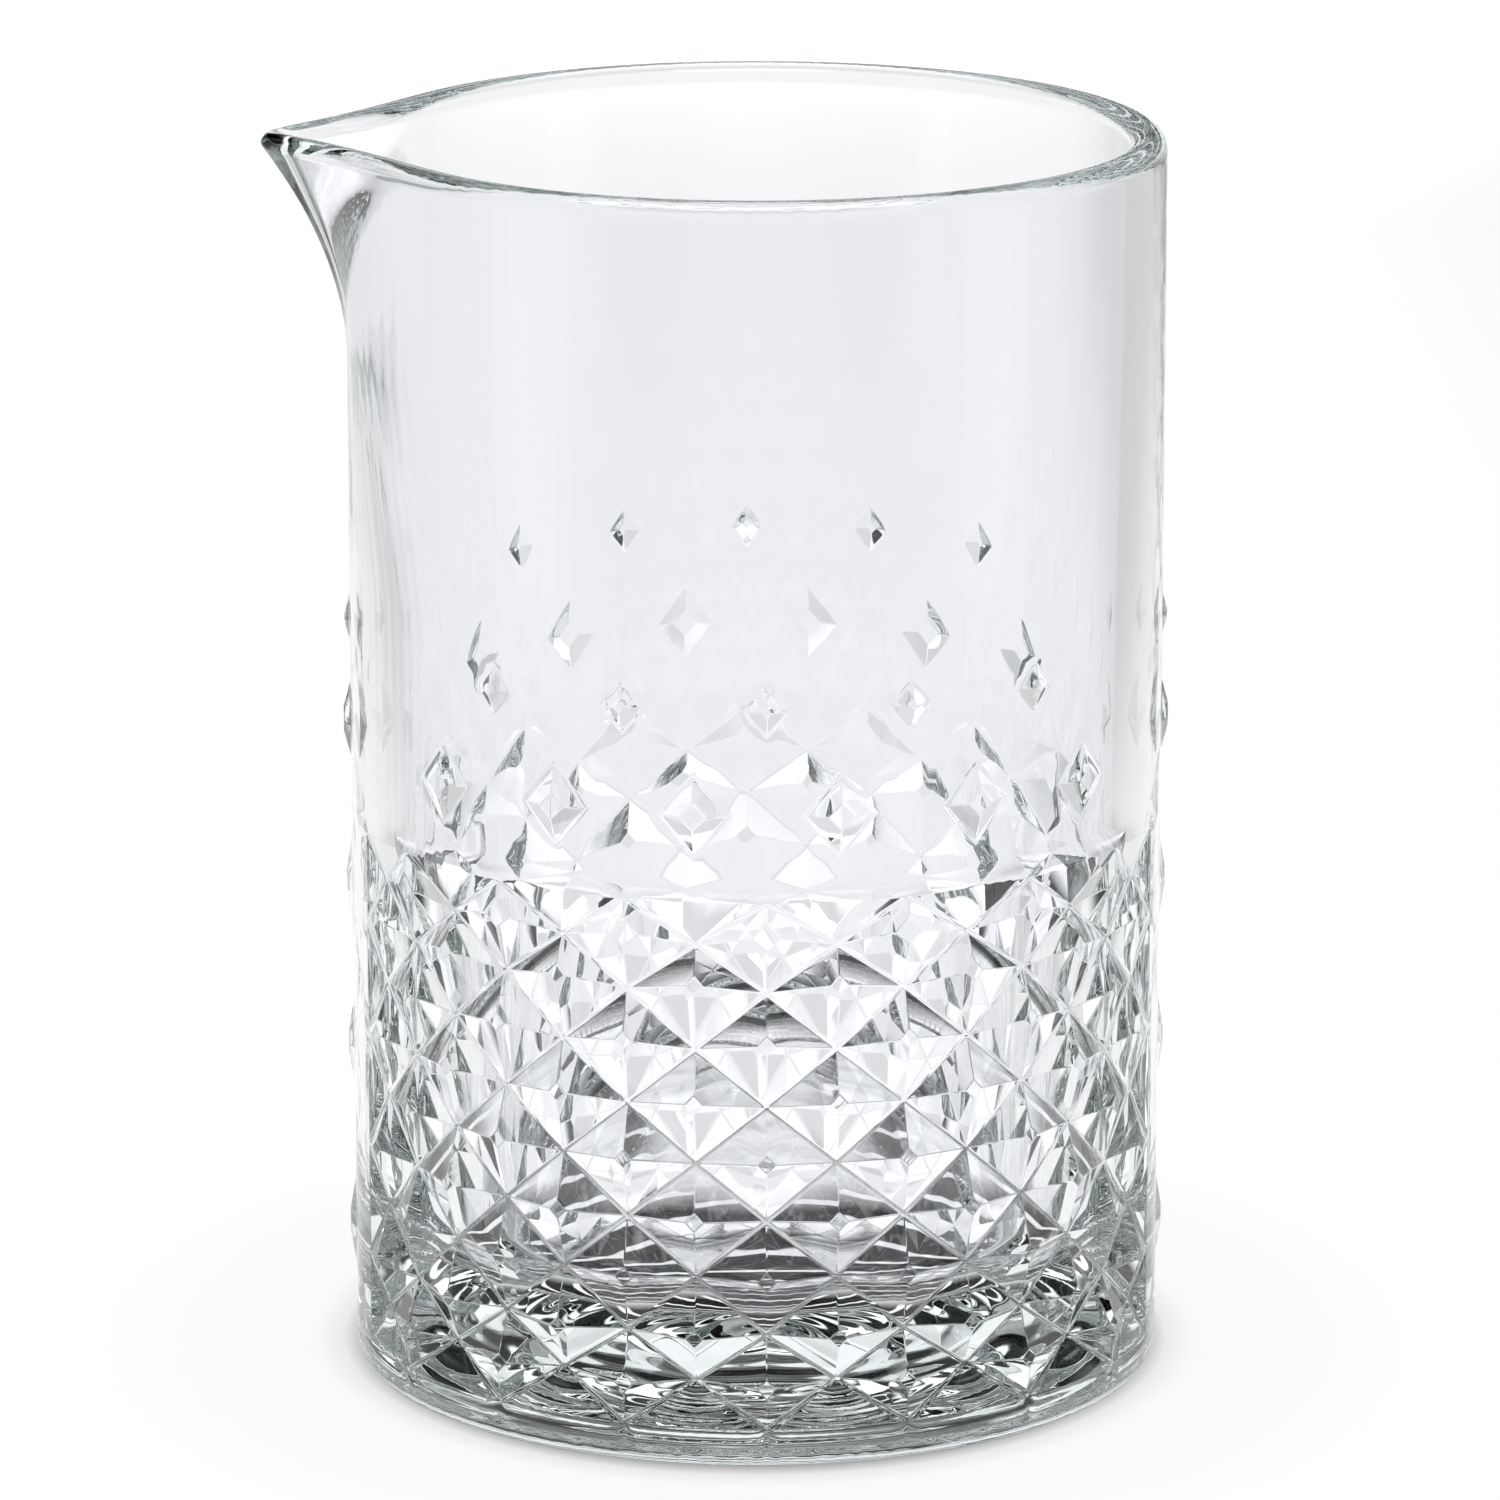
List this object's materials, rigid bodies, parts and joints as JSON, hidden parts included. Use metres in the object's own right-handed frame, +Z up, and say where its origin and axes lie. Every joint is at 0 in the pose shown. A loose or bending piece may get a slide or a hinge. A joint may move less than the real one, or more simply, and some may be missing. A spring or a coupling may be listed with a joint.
{
  "type": "mixing glass",
  "caption": "Heavy pressed-glass stirring vessel with a thick base, a band of diamond studs round its lower half and a pouring lip at the rim.",
  "frame": {"origin": "centre of the flat underside the glass stands on", "axes": "+Z up along the vessel's axis, -X towards the pouring lip"},
  "size_m": [0.1069, 0.0982, 0.1487],
  "materials": {
    "clear_glass": "polished"
  },
  "bodies": {
    "root": {"glass_body": "clear_glass"}
  },
  "joints": []
}
